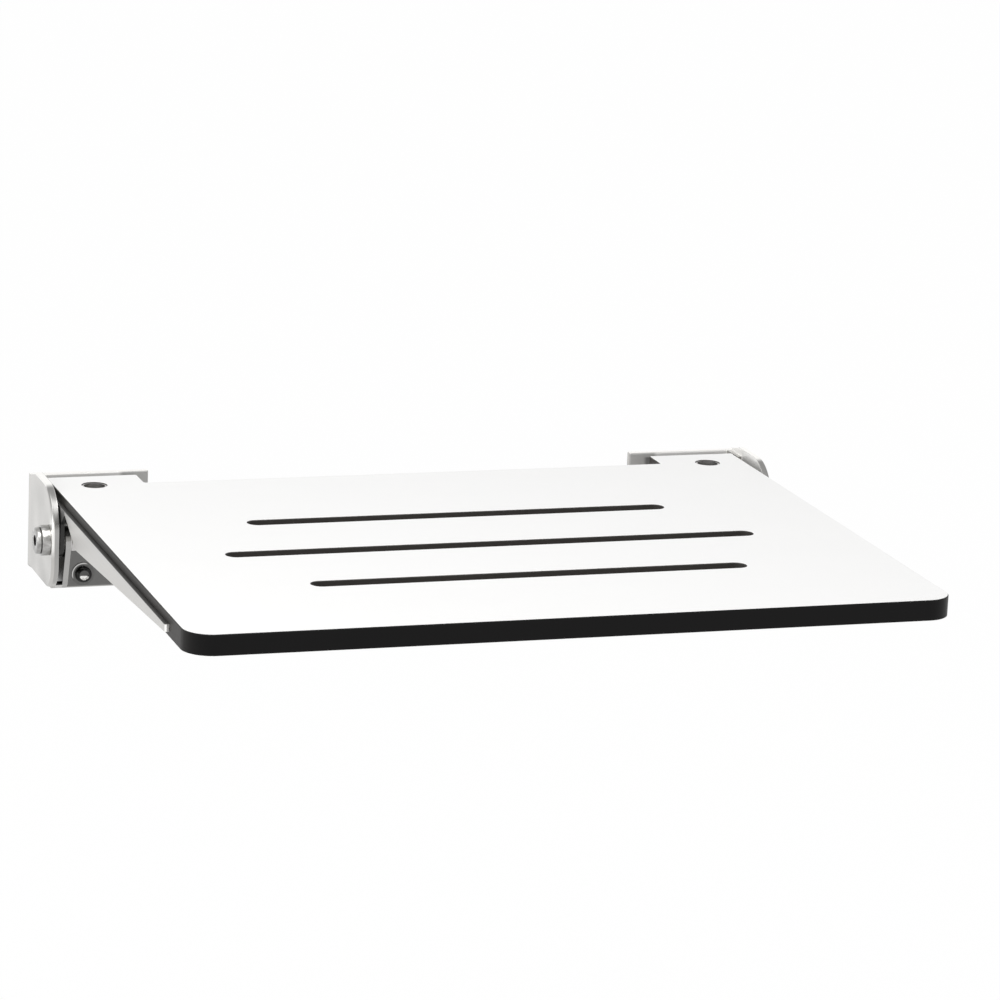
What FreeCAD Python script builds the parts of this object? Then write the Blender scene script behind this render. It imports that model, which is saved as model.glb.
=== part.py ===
import FreeCAD, Part
import Sketcher
import os
import re

# Fold down wall seat, millimetres, +Z up, +X to the right seen from the front.
# The wall is the plane y = 0 and the seat reaches out along -Y.
# The origin is the centre of the four wall screws, on the wall.

SIZES = {
    # seat panel
    "panel_width": 460,
    "panel_reach": 378,
    "panel_thick": 12.5,
    "panel_corner": 17,
    "panel_arris": 0.6,
    "seat_height": 40,
    "tab_gap": 13.8,
    "tab_width": 58,
    "recess_depth": 21,
    "recess_round": 1.5,
    "slot_width": 12,
    "slot_short": 268,
    "slot_long": 332,
    "slot_first": 143,
    "slot_pitch": 71,
    "access_radius": 7.6,
    "access_back": 36.5,
    "access_inset": 25.6,
    "sleeve_wall": 0.9,
    # wall bracket
    "plate_thick": 4,
    "plate_height": 75,
    "plate_width": 76,
    "plate_round": 3,
    "plate_top_round": 0.8,
    "plate_edge_round": 1.2,
    "plate_cut_width": 20,
    "ear_thick": 4.5,
    "ear_reach": 69,
    "ear_crown": 4.7,
    "ear_crown_back": 18,
    "ear_drop": 59.5,
    "ear_top_round": 27,
    "ear_foot_round": 17,
    "ear_edge_round": 1.5,
    "cheek_thick": 3.5,
    "cheek_round": 9,
    "cheek_slope_drop": 3.5,
    "cheek_rise": 9,
    "floor_thick": 3,
    "floor_back": 53,
    "floor_front": 61,
    "stop_reach": 24,
    "stop_drop": 12,
    "stop_gap": 0.3,
    "panel_play": 0.3,
    # pivot
    "pivot_out": 58,
    "pivot_drop": 28.5,
    "pivot_radius": 4,
    "pivot_running": 0.05,
    "pivot_base_radius": 9.5,
    "pivot_base_height": 5.2,
    "pivot_groove_radius": 8,
    "pivot_groove_top": 5.7,
    "pivot_head_radius": 8.4,
    "pivot_head_height": 8.4,
    "pivot_head_round": 1,
    "pivot_socket": 3.4,
    "pivot_socket_depth": 3.2,
    "bush_wall": 2,
    "thrust_radius": 8.5,
    "thrust_thick": 0.5,
    "thrust_gap": 0.3,
    "nut_width": 13,
    "nut_height": 6.5,
    "nut_collar": 1.6,
    "nut_collar_inset": 0.6,
    "nut_washer_radius": 8,
    "nut_washer_thick": 1.2,
    # seat arm
    "arm_thick": 2.5,
    "arm_gap": 0.2,
    "arm_front": 336,
    "arm_lip": 7.2,
    "arm_deep": 21.5,
    "arm_deep_at": 110,
    "arm_shallow": 9.5,
    "arm_tail_back": 9,
    "arm_tail_deep": 22,
    "arm_knee_back": 33,
    "arm_step_front": 34,
    "arm_step_back": 27,
    "arm_notch_deep": 7.2,
    "arm_notch_at": 79,
    "arm_notch_back": 16,
    "arm_notch_round": 3,
    "arm_heel_round": 12,
    "arm_end_round": 1.2,
    "lobe_radius": 11,
    "flange_width": 28,
    "flange_back": 46,
    "flange_front": 206,
    "flange_round": 5,
    # screws of the arm
    "arm_screw_radius": 2.5,
    "arm_screw_head": 4.6,
    "arm_screw_head_height": 2.6,
    "arm_screw_count": 3,
    "arm_screw_first": 92,
    "arm_screw_pitch": 50,
    "arm_screw_inset": 16,
    "arm_screw_grip": 8,
    "arm_screw_play": 0.3,
    "insert_wall": 1.5,
    "insert_length": 9,
    "insert_play": 0.05,
    # wall screws
    "wall_screw_inset": 34.8,
    "wall_screw_rise": 52,
    "wall_screw_radius": 3,
    "wall_screw_neck": 2.6,
    "wall_screw_length": 30,
    "wall_screw_play": 0.3,
    "wall_head_radius": 5.2,
    "wall_head_height": 3.6,
    "wall_washer_radius": 7.3,
    "wall_washer_thick": 1,
    "sunk_head_radius": 5.6,
    "sunk_head_depth": 2.8,
    "hex_socket": 2.3,
    "wall_socket": 3,
    "hex_socket_depth": 2,
    "head_round": 1.6,
    "arm_head_round": 1.2,
    "pivot_tip": 1.5,
}

# Heights below the seat top and the planes that the pieces share.
PLACES = {
    "panel_half": "panel_width / 2",
    "panel_under": "seat_height - panel_thick",
    "arm_inner": "panel_half + arm_gap",
    "arm_outer": "arm_inner + arm_thick",
    "ear_inner": "arm_outer + thrust_thick + thrust_gap",
    "ear_outer": "ear_inner + ear_thick",
    "cheek_outer": "arm_inner - thrust_thick - thrust_gap",
    "cheek_inner": "cheek_outer - cheek_thick",
    "pivot_height": "seat_height - pivot_drop",
    "plate_low": "seat_height - plate_height",
    "plate_inner": "ear_outer - plate_width",
    "ear_low": "seat_height - ear_drop",
    "arm_top": "panel_under + arm_lip",
    "bush_radius": "pivot_radius + pivot_running + bush_wall",
    "screw_half": "ear_outer - wall_screw_inset",
    "stop_under": "seat_height - stop_drop",
    "tail_top": "stop_under - stop_gap",
    "lobe_ahead": "pivot_out + lobe_radius",
    "lobe_behind": "pivot_out - lobe_radius",
    "nut_start": "cheek_inner - nut_washer_thick",
    "pivot_length": "ear_outer - nut_start + nut_height + nut_collar + pivot_tip",
    "wall_screw_face": "plate_thick + wall_washer_thick",
    "screw_up": "wall_screw_rise / 2",
    "arm_screw_side": "panel_half - arm_screw_inset",
    "access_half": "panel_half - access_inset",
    "sleeve_length": "panel_thick - panel_arris",
    "flange_under": "panel_under - arm_thick",
}

SIDES = {"left": -1, "right": 1}
SPARE_CELL = "A1"
QUARTER_TURN = 1.5707963267948966
ON_EDGE = 1e-4
ON_PLANE = 1e-3
NEARLY_ALONG = 0.999
HEAD_TO_FRONT = FreeCAD.Rotation(FreeCAD.Vector(0, 0, 1), FreeCAD.Vector(0, -1, 0))

doc = FreeCAD.newDocument("wall_seat")
sizes = doc.addObject("Spreadsheet::Sheet", "sizes")
places = doc.addObject("Spreadsheet::Sheet", "places")
workings = doc.addObject("Spreadsheet::Sheet", "workings")


def fill_sheets():
    for row, (name, number) in enumerate(SIZES.items(), start=1):
        sizes.set("A%d" % row, name)
        sizes.set("B%d" % row, str(number))
        sizes.setAlias("B%d" % row, name)
    doc.recompute()
    for row, (name, formula) in enumerate(PLACES.items(), start=1):
        places.set("A%d" % row, name)
        places.setAlias("B%d" % row, name)
        places.set("B%d" % row, "=" + linked(formula, own_sheet=True))
    doc.recompute()


def linked(formula, own_sheet=False):
    """Turn the words of a formula into references to the two sheets."""
    def reference(match):
        word = match.group(0)
        if word in SIZES:
            return "sizes." + word
        if word in PLACES:
            return word if own_sheet else "places." + word
        return word
    return re.sub(r"[a-z_]+", reference, str(formula))


def bind(thing, prop, formula):
    thing.setExpression(prop, linked(formula))


def worked_out(formula):
    """The number that a formula gives now, worked out in a sheet that no piece reads."""
    workings.set(SPARE_CELL, "=" + linked(formula))
    workings.recompute()
    return float(workings.get(SPARE_CELL))


def mirrored(formula, side):
    return "%d * (%s)" % (side, formula)


def new_body(name):
    body = doc.addObject("PartDesign::Body", name)
    body.Label = name
    return body


def new_sketch(body, name, plane, offset):
    sketch = body.newObject("Sketcher::SketchObject", name)
    origin = [f for f in body.Origin.OriginFeatures if f.Role == plane][0]
    sketch.AttachmentSupport = [(origin, "")]
    sketch.MapMode = "FlatFace"
    bind(sketch, ".AttachmentOffset.Base.z", offset)
    sketch.Visibility = False
    return sketch


def pin_point(sketch, geometry, point, across, upward):
    """Tie one point of a sketch to the sheets by its two distances."""
    for kind, formula in (("DistanceX", across), ("DistanceY", upward)):
        length = worked_out(formula)
        made = sketch.addConstraint(Sketcher.Constraint(kind, -1, 1, geometry, point, length))
        bind(sketch, "Constraints[%d]" % made, formula)


def draw_outline(sketch, corners):
    """A closed outline of straight lines, each corner tied to the sheets."""
    points = [FreeCAD.Vector(worked_out(x), worked_out(y), 0) for x, y in corners]
    count = len(points)
    lines = []
    for i in range(count):
        line = Part.LineSegment(points[i], points[(i + 1) % count])
        lines.append(sketch.addGeometry(line, False))
    for i in range(count):
        sketch.addConstraint(Sketcher.Constraint("Coincident", lines[i], 2, lines[(i + 1) % count], 1))
    for line, (across, upward) in zip(lines, corners):
        pin_point(sketch, line, 1, across, upward)
    return lines


def pin_radius(sketch, geometry, radius):
    made = sketch.addConstraint(Sketcher.Constraint("Radius", geometry, worked_out(radius)))
    bind(sketch, "Constraints[%d]" % made, radius)


def draw_circle(sketch, across, upward, radius):
    centre = FreeCAD.Vector(worked_out(across), worked_out(upward), 0)
    circle = Part.Circle(centre, FreeCAD.Vector(0, 0, 1), worked_out(radius))
    made = sketch.addGeometry(circle, False)
    pin_point(sketch, made, 3, across, upward)
    pin_radius(sketch, made, radius)


def draw_slot(sketch, length, width, upward):
    """A slot along X with round ends, centred on x = 0."""
    reach = "(%s - %s) / 2" % (length, width)
    radius = width + " / 2"
    half = worked_out(reach)
    low_y = worked_out(upward) - worked_out(radius)
    high_y = worked_out(upward) + worked_out(radius)
    ends = []
    for along, start in ((half, -QUARTER_TURN), (-half, QUARTER_TURN)):
        centre = FreeCAD.Vector(along, worked_out(upward), 0)
        circle = Part.Circle(centre, FreeCAD.Vector(0, 0, 1), worked_out(radius))
        arc = Part.ArcOfCircle(circle, start, start + 2 * QUARTER_TURN)
        ends.append(sketch.addGeometry(arc, False))
    top = sketch.addGeometry(Part.LineSegment(
        FreeCAD.Vector(half, high_y, 0), FreeCAD.Vector(-half, high_y, 0)), False)
    low = sketch.addGeometry(Part.LineSegment(
        FreeCAD.Vector(-half, low_y, 0), FreeCAD.Vector(half, low_y, 0)), False)
    right_arc, left_arc = ends
    for first, second in ((right_arc, top), (top, left_arc), (left_arc, low), (low, right_arc)):
        sketch.addConstraint(Sketcher.Constraint("Tangent", first, 2, second, 1))
    pin_point(sketch, right_arc, 3, reach, upward)
    pin_point(sketch, left_arc, 3, "-(" + reach + ")", upward)
    pin_radius(sketch, right_arc, radius)
    pin_radius(sketch, left_arc, radius)


def pad(body, sketch, name, depth):
    feature = body.newObject("PartDesign::Pad", name)
    feature.Profile = sketch
    bind(feature, "Length", depth)
    doc.recompute()
    return feature


def pocket_through(body, sketch, name, reverse=False):
    before = body.Shape.Volume
    feature = body.newObject("PartDesign::Pocket", name)
    feature.Profile = sketch
    feature.Type = "ThroughAll"
    feature.Reversed = reverse
    doc.recompute()
    if body.Shape.Volume >= before:
        raise RuntimeError(name + " cuts nothing")
    return feature


def corner_points(sketch, lines, wanted):
    points = []
    for i in wanted:
        local = sketch.Geometry[lines[i]].StartPoint
        points.append(sketch.Placement.multVec(local))
    return points


def edges_at(shape, points, along):
    """Names of the straight edges through the points and along a direction."""
    names = []
    for number, edge in enumerate(shape.Edges, start=1):
        if edge.Degenerated or edge.Curve.TypeId != "Part::GeomLine":
            continue
        if abs(edge.tangentAt(edge.FirstParameter).dot(along)) < NEARLY_ALONG:
            continue
        for point in points:
            if Part.Vertex(point).distToShape(edge)[0] < ON_EDGE:
                names.append("Edge%d" % number)
                break
    return names


def face_edges(shape, axis, place):
    """Names of the edges that lie wholly in the plane where the axis has one value."""
    names = []
    for number, edge in enumerate(shape.Edges, start=1):
        box = edge.BoundBox
        low = getattr(box, axis + "Min")
        high = getattr(box, axis + "Max")
        if abs(low - place) < ON_PLANE and abs(high - place) < ON_PLANE:
            names.append("Edge%d" % number)
    return names


def soften(body, name, kind, edges, radius):
    before = body.Tip
    feature = body.newObject("PartDesign::" + kind, name)
    feature.Base = (before, edges)
    if kind == "Fillet":
        bind(feature, "Radius", radius)
    else:
        bind(feature, "Size", radius)
    doc.recompute()
    return feature


def make_seat_panel():
    body = new_body("seat_panel")
    outline = new_sketch(body, "panel_outline", "XY_Plane", "panel_under")
    half = "panel_half"
    inner = "(panel_half - tab_width)"
    back = "-tab_gap"
    recess = "-(tab_gap + recess_depth)"
    front = "-panel_reach"
    lines = draw_outline(outline, [
        ("-" + half, front),
        (half, front),
        (half, back),
        (inner, back),
        (inner, recess),
        ("-" + inner, recess),
        ("-" + inner, back),
        ("-" + half, back),
    ])
    pad(body, outline, "panel_board", "panel_thick")
    up = FreeCAD.Vector(0, 0, 1)
    front_corners = edges_at(body.Shape, corner_points(outline, lines, [0, 1]), up)
    soften(body, "panel_corners", "Fillet", front_corners, "panel_corner")
    small_corners = edges_at(body.Shape, corner_points(outline, lines, [2, 3, 4, 5, 6, 7]), up)
    soften(body, "tab_corners", "Fillet", small_corners, "recess_round")
    slots = new_sketch(body, "panel_slots", "XY_Plane", "panel_under")
    draw_slot(slots, "slot_short", "slot_width", "-slot_first")
    draw_slot(slots, "slot_long", "slot_width", "-(slot_first + slot_pitch)")
    draw_slot(slots, "slot_short", "slot_width", "-(slot_first + 2 * slot_pitch)")
    for side in SIDES.values():
        draw_circle(slots, mirrored("access_half", side), "-access_back", "access_radius + insert_play")
    pocket_through(body, slots, "panel_openings", reverse=True)
    screw_holes = new_sketch(body, "insert_holes", "XY_Plane", "panel_under")
    for side in SIDES.values():
        for i in range(int(worked_out("arm_screw_count"))):
            across = mirrored("arm_screw_side", side)
            back_from_wall = "-(arm_screw_first + %d * arm_screw_pitch)" % i
            draw_circle(screw_holes, across, back_from_wall, "arm_screw_radius + insert_wall + insert_play")
    before = body.Shape.Volume
    holes = body.newObject("PartDesign::Pocket", "insert_bores")
    holes.Profile = screw_holes
    holes.Reversed = True
    bind(holes, "Length", "insert_length + arm_screw_play")
    doc.recompute()
    if body.Shape.Volume >= before:
        raise RuntimeError("insert bores cut nothing")
    top_edges = face_edges(body.Shape, "Z", worked_out("seat_height"))
    soften(body, "top_arris", "Chamfer", top_edges, "panel_arris")
    return body


def is_low_edge(shape, name):
    """Whether an edge of the plate's front lies along its lowest line."""
    box = shape.Edges[int(name[4:]) - 1].BoundBox
    return box.ZMax < worked_out("plate_low") + ON_PLANE


def make_wall_bracket(word, side):
    body = new_body("wall_bracket_" + word)
    along = FreeCAD.Vector(1, 0, 0)
    ear_start = "-ear_outer" if side < 0 else "ear_inner"
    ear = new_sketch(body, "ear_outline_" + word, "YZ_Plane", ear_start)
    crown = "seat_height + ear_crown"
    ear_lines = draw_outline(ear, [
        ("0", "seat_height"),
        ("-ear_crown_back", crown),
        ("-ear_reach", crown),
        ("-ear_reach", "ear_low"),
        ("0", "ear_low"),
    ])
    pad(body, ear, "ear_" + word, "ear_thick")
    brow = edges_at(body.Shape, corner_points(ear, ear_lines, [2]), along)
    soften(body, "ear_brow_" + word, "Fillet", brow, "ear_top_round")
    foot = edges_at(body.Shape, corner_points(ear, ear_lines, [3]), along)
    soften(body, "ear_foot_" + word, "Fillet", foot, "ear_foot_round")
    rim = face_edges(body.Shape, "X", side * worked_out("ear_outer"))
    rim = [n for n in rim if body.Shape.Edges[int(n[4:]) - 1].BoundBox.YMin < -ON_PLANE]
    soften(body, "ear_rim_" + word, "Fillet", rim, "ear_edge_round")

    plate = new_sketch(body, "plate_outline_" + word, "XZ_Plane", "0")
    outer = mirrored("ear_outer", side)
    cut = mirrored("ear_outer - plate_cut_width", side)
    inner = mirrored("plate_inner", side)
    plate_lines = draw_outline(plate, [
        (outer, "seat_height"),
        (inner, "seat_height"),
        (inner, "plate_low"),
        (cut, "plate_low"),
        (outer, "ear_low"),
    ])
    pad(body, plate, "plate_" + word, "plate_thick")
    forward = FreeCAD.Vector(0, 1, 0)
    top_end = edges_at(body.Shape, corner_points(plate, plate_lines, [1]), forward)
    soften(body, "plate_top_corner_" + word, "Fillet", top_end, "plate_top_round")
    low_ends = edges_at(body.Shape, corner_points(plate, plate_lines, [2, 3]), forward)
    soften(body, "plate_corners_" + word, "Fillet", low_ends, "plate_round")
    front = face_edges(body.Shape, "Y", -worked_out("plate_thick"))
    low_rim = [n for n in front if is_low_edge(body.Shape, n)]
    soften(body, "plate_rim_" + word, "Fillet", low_rim, "plate_edge_round")

    cheek_start = "-cheek_outer" if side < 0 else "cheek_inner"
    cheek = new_sketch(body, "cheek_outline_" + word, "YZ_Plane", cheek_start)
    low = "ear_low"
    behind = "-(pivot_out - lobe_radius)"
    ahead = "-(pivot_out + lobe_radius)"
    top = "pivot_height + cheek_rise"
    cheek_lines = draw_outline(cheek, [
        (behind, low),
        (behind, top),
        (ahead, top),
        (ahead, "pivot_height - cheek_slope_drop"),
        ("-floor_front", low + " + floor_thick"),
        ("-(floor_front - floor_thick)", low),
    ])
    pad(body, cheek, "cheek_" + word, "cheek_thick")

    floor_start = "-(ear_inner + ear_thick / 2)" if side < 0 else "cheek_outer - cheek_thick / 2"
    floor = new_sketch(body, "floor_outline_" + word, "YZ_Plane", floor_start)
    draw_outline(floor, [
        ("-floor_back", low),
        ("-floor_back", low + " + floor_thick"),
        ("-floor_front", low + " + floor_thick"),
        ("-(floor_front - floor_thick)", low),
    ])
    pad(body, floor, "floor_" + word, "ear_inner + ear_thick / 2 - cheek_outer + cheek_thick / 2")
    cheek_corners = edges_at(body.Shape, corner_points(cheek, cheek_lines, [1, 2]), along)
    soften(body, "cheek_top_" + word, "Fillet", cheek_corners, "cheek_round")

    stop_start = "-(ear_inner + ear_thick / 2)" if side < 0 else "panel_half + panel_play"
    stop = new_sketch(body, "stop_outline_" + word, "YZ_Plane", stop_start)
    draw_outline(stop, [
        ("-plate_thick / 2", "seat_height"),
        ("-stop_reach", "seat_height"),
        ("-stop_reach", "stop_under"),
        ("-plate_thick / 2", "stop_under"),
    ])
    pad(body, stop, "stop_" + word, "ear_inner + ear_thick / 2 - panel_half - panel_play")

    bores = new_sketch(body, "pivot_bore_" + word, "YZ_Plane", "0")
    draw_circle(bores, "-pivot_out", "pivot_height", "pivot_radius + pivot_running")
    pocket_through(body, bores, "pivot_hole_" + word, reverse=side > 0)
    holes = new_sketch(body, "wall_holes_" + word, "XZ_Plane", "0")
    for upward in ("screw_up", "-screw_up"):
        draw_circle(holes, mirrored("screw_half", side), upward, "wall_screw_radius + wall_screw_play")
    pocket_through(body, holes, "wall_bores_" + word, reverse=True)
    sink = body.newObject("PartDesign::SubtractiveCone", "sink_" + word)
    sink.Placement = FreeCAD.Placement(FreeCAD.Vector(), HEAD_TO_FRONT)
    bind(sink, "Radius1", "wall_screw_radius + wall_screw_play")
    bind(sink, "Radius2", "sunk_head_radius + wall_screw_play")
    bind(sink, "Height", "sunk_head_depth")
    bind(sink, ".Placement.Base.x", mirrored("screw_half", side))
    bind(sink, ".Placement.Base.y", "-(plate_thick - sunk_head_depth)")
    bind(sink, ".Placement.Base.z", "screw_up")
    doc.recompute()
    return body


def make_seat_arm(word, side):
    body = new_body("seat_arm_" + word)
    along = FreeCAD.Vector(1, 0, 0)
    web = new_sketch(body, "arm_outline_" + word, "YZ_Plane", "-arm_outer" if side < 0 else "arm_inner")
    lines = draw_outline(web, [
        ("-arm_front", "arm_top"),
        ("-arm_step_front", "arm_top"),
        ("-arm_step_back", "tail_top"),
        ("-arm_tail_back", "tail_top"),
        ("-arm_tail_back", "seat_height - arm_tail_deep"),
        ("-arm_knee_back", "seat_height - arm_tail_deep"),
        ("-lobe_behind", "pivot_height - lobe_radius"),
        ("-lobe_ahead", "pivot_height - lobe_radius"),
        ("-lobe_ahead", "seat_height - arm_notch_back"),
        ("-arm_notch_at", "seat_height - arm_notch_deep"),
        ("-arm_deep_at", "seat_height - arm_deep"),
        ("-arm_front", "seat_height - arm_shallow"),
    ])
    pad(body, web, "arm_web_" + word, "arm_thick")
    for name, corner, radius in (
            ("lobe_round_", 7, "lobe_radius"),
            ("notch_round_", 9, "arm_notch_round"),
            ("heel_round_", 10, "arm_heel_round")):
        picked = edges_at(body.Shape, corner_points(web, lines, [corner]), along)
        soften(body, name + word, "Fillet", picked, radius)
    front_face = face_edges(body.Shape, "Y", -worked_out("arm_front"))
    outer_edges = face_edges(body.Shape, "X", side * worked_out("arm_outer"))
    end_edge = [n for n in front_face if n in outer_edges]
    soften(body, "arm_end_" + word, "Fillet", end_edge, "arm_end_round")

    flange = new_sketch(body, "flange_outline_" + word, "XY_Plane", "flange_under")
    outer = mirrored("arm_inner", side)
    inner = mirrored("arm_inner - flange_width", side)
    flange_lines = draw_outline(flange, [
        (outer, "-flange_back"),
        (inner, "-flange_back"),
        (inner, "-flange_front"),
        (outer, "-flange_front"),
    ])
    pad(body, flange, "flange_" + word, "arm_thick")
    up = FreeCAD.Vector(0, 0, 1)
    inner_corners = edges_at(body.Shape, corner_points(flange, flange_lines, [1, 2]), up)
    soften(body, "flange_corners_" + word, "Fillet", inner_corners, "flange_round")
    screw_holes = new_sketch(body, "arm_screw_holes_" + word, "XY_Plane", "0")
    for place in arm_screw_places():
        draw_circle(screw_holes, mirrored("arm_screw_side", side), place, "arm_screw_radius + arm_screw_play")
    pocket_through(body, screw_holes, "arm_screw_bores_" + word, reverse=True)
    bore = new_sketch(body, "bush_bore_" + word, "YZ_Plane", "0")
    draw_circle(bore, "-pivot_out", "pivot_height", "bush_radius")
    pocket_through(body, bore, "bush_hole_" + word, reverse=side > 0)
    return body


def arm_screw_places():
    """How far from the wall each screw of an arm sits, as a formula along Y."""
    count = int(worked_out("arm_screw_count"))
    return ["-(arm_screw_first + %d * arm_screw_pitch)" % i for i in range(count)]


def turned(name, profile):
    """A round piece about its own Z axis, from half its section."""
    body = new_body(name)
    section = new_sketch(body, name + "_section", "XZ_Plane", "0")
    draw_outline(section, profile)
    feature = body.newObject("PartDesign::Revolution", name + "_turned")
    feature.Profile = section
    feature.ReferenceAxis = (section, ["V_Axis"])
    feature.Angle = 360
    doc.recompute()
    return body


def set_in_place(body, direction, across, out, upward):
    body.Placement = FreeCAD.Placement(FreeCAD.Vector(), FreeCAD.Rotation(FreeCAD.Vector(0, 0, 1), direction))
    bind(body, ".Placement.Base.x", across)
    bind(body, ".Placement.Base.y", out)
    bind(body, ".Placement.Base.z", upward)
    doc.recompute()


def hex_corners(radius):
    return [("%s * cos(%d)" % (radius, turn), "%s * sin(%d)" % (radius, turn)) for turn in range(0, 360, 60)]


def cut_hex_socket(body, name, face, radius, depth):
    socket = new_sketch(body, name + "_socket_outline", "XY_Plane", face)
    draw_outline(socket, hex_corners(radius))
    before = body.Shape.Volume
    feature = body.newObject("PartDesign::Pocket", name + "_socket")
    feature.Profile = socket
    bind(feature, "Length", depth)
    doc.recompute()
    if body.Shape.Volume >= before:
        raise RuntimeError(name + " has no socket")


def screw(name, shank, head, rounding, socket, depth):
    """A socket screw, its head above z = 0 and its shank below.

    The shank is a list of (radius, how deep it starts), tip first, and the
    head a list of (radius, how high it ends), lowest first.
    """
    profile = [("0", "-(%s)" % shank[0][1])]
    ends = [deep for radius, deep in shank[1:]] + ["0"]
    for (radius, deep), end in zip(shank, ends):
        profile += [(radius, "-(%s)" % deep), (radius, "-(%s)" % end)]
    starts = ["0"] + [height for radius, height in head[:-1]]
    for (radius, height), start in zip(head, starts):
        profile += [(radius, start), (radius, height)]
    top = head[-1][1]
    profile.append(("0", top))
    body = turned(name, profile)
    rim = face_edges(body.Shape, "Z", worked_out(top))
    soften(body, name + "_dome", "Fillet", rim, rounding)
    cut_hex_socket(body, name, top, socket, depth)
    return body


def sunk_screw(name):
    body = turned(name, [
        ("0", "-wall_screw_length"),
        ("wall_screw_radius", "-wall_screw_length"),
        ("wall_screw_radius", "-plate_thick"),
        ("wall_screw_neck", "-plate_thick"),
        ("wall_screw_neck", "-sunk_head_depth"),
        ("sunk_head_radius", "0"),
        ("0", "0"),
    ])
    cut_hex_socket(body, name, "0", "hex_socket", "hex_socket_depth")
    return body


def ring(name, bore, radius, thick):
    return turned(name, [(bore, "0"), (radius, "0"), (radius, thick), (bore, thick)])


def lock_nut(name):
    """A hexagon nut with its locking collar, and a bore that clears the thread."""
    body = new_body(name)
    outline = new_sketch(body, name + "_outline", "XY_Plane", "0")
    draw_outline(outline, hex_corners("nut_width / 2 / cos(30)"))
    draw_circle(outline, "0", "0", "pivot_radius + pivot_running")
    pad(body, outline, name + "_hexagon", "nut_height")
    collar = new_sketch(body, name + "_collar_outline", "XY_Plane", "nut_height")
    draw_circle(collar, "0", "0", "nut_width / 2 - nut_collar_inset")
    draw_circle(collar, "0", "0", "pivot_radius + pivot_running")
    pad(body, collar, name + "_collar", "nut_collar")
    return body


def gathered(name, pieces):
    group = doc.addObject("Part::Compound", name)
    group.Label = name
    group.Links = pieces
    doc.recompute()
    return group


def make_pivot(word, side):
    outward = FreeCAD.Vector(side, 0, 0)
    inward = FreeCAD.Vector(-side, 0, 0)
    head = [
        ("pivot_base_radius", "pivot_base_height"),
        ("pivot_groove_radius", "pivot_groove_top"),
        ("pivot_head_radius", "pivot_head_height"),
    ]
    bolt = screw("pivot_bolt_" + word, [("pivot_radius", "pivot_length")], head,
                 "pivot_head_round", "pivot_socket", "pivot_socket_depth")
    bush = ring("pivot_bush_" + word, "pivot_radius + pivot_running", "bush_radius", "arm_thick")
    outer = ring("outer_thrust_washer_" + word, "pivot_radius + pivot_running", "thrust_radius", "thrust_thick")
    inner = ring("inner_thrust_washer_" + word, "pivot_radius + pivot_running", "thrust_radius", "thrust_thick")
    washer = ring("nut_washer_" + word, "pivot_radius + pivot_running", "nut_washer_radius", "nut_washer_thick")
    nut = lock_nut("lock_nut_" + word)
    for piece, direction, across in (
            (bolt, outward, "ear_outer"),
            (bush, outward, "arm_inner"),
            (outer, inward, "ear_inner"),
            (inner, outward, "cheek_outer"),
            (washer, inward, "cheek_inner"),
            (nut, inward, "nut_start")):
        set_in_place(piece, direction, mirrored(across, side), "-pivot_out", "pivot_height")
    return [bolt, bush, outer, inner, washer, nut]


def make_arm_fixings(word, side):
    screws = []
    inserts = []
    for number, place in enumerate(arm_screw_places(), start=1):
        one = screw("arm_screw_%s_%d" % (word, number), [("arm_screw_radius", "arm_thick + arm_screw_grip")],
                    [("arm_screw_head", "arm_screw_head_height")], "arm_head_round",
                    "hex_socket", "hex_socket_depth / 2")
        set_in_place(one, FreeCAD.Vector(0, 0, -1), mirrored("arm_screw_side", side), place, "flange_under")
        screws.append(one)
        sleeve = ring("insert_%s_%d" % (word, number), "arm_screw_radius + insert_play",
                      "arm_screw_radius + insert_wall", "insert_length")
        set_in_place(sleeve, FreeCAD.Vector(0, 0, 1), mirrored("arm_screw_side", side), place, "panel_under")
        inserts.append(sleeve)
    return [gathered("arm_screws_" + word, screws), gathered("panel_inserts_" + word, inserts)]


def make_tab_sleeve(word, side):
    """The steel sleeve that lines a tab's hole."""
    sleeve = ring("tab_sleeve_" + word, "access_radius - sleeve_wall", "access_radius", "sleeve_length")
    set_in_place(sleeve, FreeCAD.Vector(0, 0, 1), mirrored("access_half", side), "-access_back", "panel_under")
    return sleeve


def make_wall_fixings():
    toward_front = FreeCAD.Vector(0, -1, 0)
    lower = []
    upper = []
    washers = []
    for word, side in SIDES.items():
        across = mirrored("screw_half", side)
        shank = [("wall_screw_radius", "wall_screw_length"), ("wall_screw_neck", "wall_screw_face")]
        low = screw("low_screw_" + word, shank, [("wall_head_radius", "wall_head_height")],
                    "head_round", "wall_socket", "hex_socket_depth")
        set_in_place(low, toward_front, across, "-wall_screw_face", "-screw_up")
        lower.append(low)
        high = sunk_screw("high_screw_" + word)
        set_in_place(high, toward_front, across, "-plate_thick", "screw_up")
        upper.append(high)
        washer = ring("wall_washer_" + word, "wall_screw_radius + insert_play", "wall_washer_radius",
                      "wall_washer_thick")
        set_in_place(washer, toward_front, across, "-plate_thick", "-screw_up")
        washers.append(washer)
    return [
        gathered("wall_screws_lower", lower),
        gathered("wall_screws_upper", upper),
        gathered("wall_washers", washers),
    ]


def check_and_write(pieces):
    os.makedirs("parts", exist_ok=True)
    doc.recompute()
    for thing in doc.Objects:
        if "Invalid" in thing.State or "Error" in thing.State:
            raise RuntimeError(thing.Name + " " + str(thing.State))
    for piece in pieces:
        shape = piece.Shape
        if shape.isNull() or not shape.isValid():
            raise RuntimeError(piece.Label + " has no sound shape")
        shape.exportStep("parts/%s.step" % piece.Label)
        print(piece.Label, len(shape.Solids), round(shape.Volume, 1))


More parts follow.
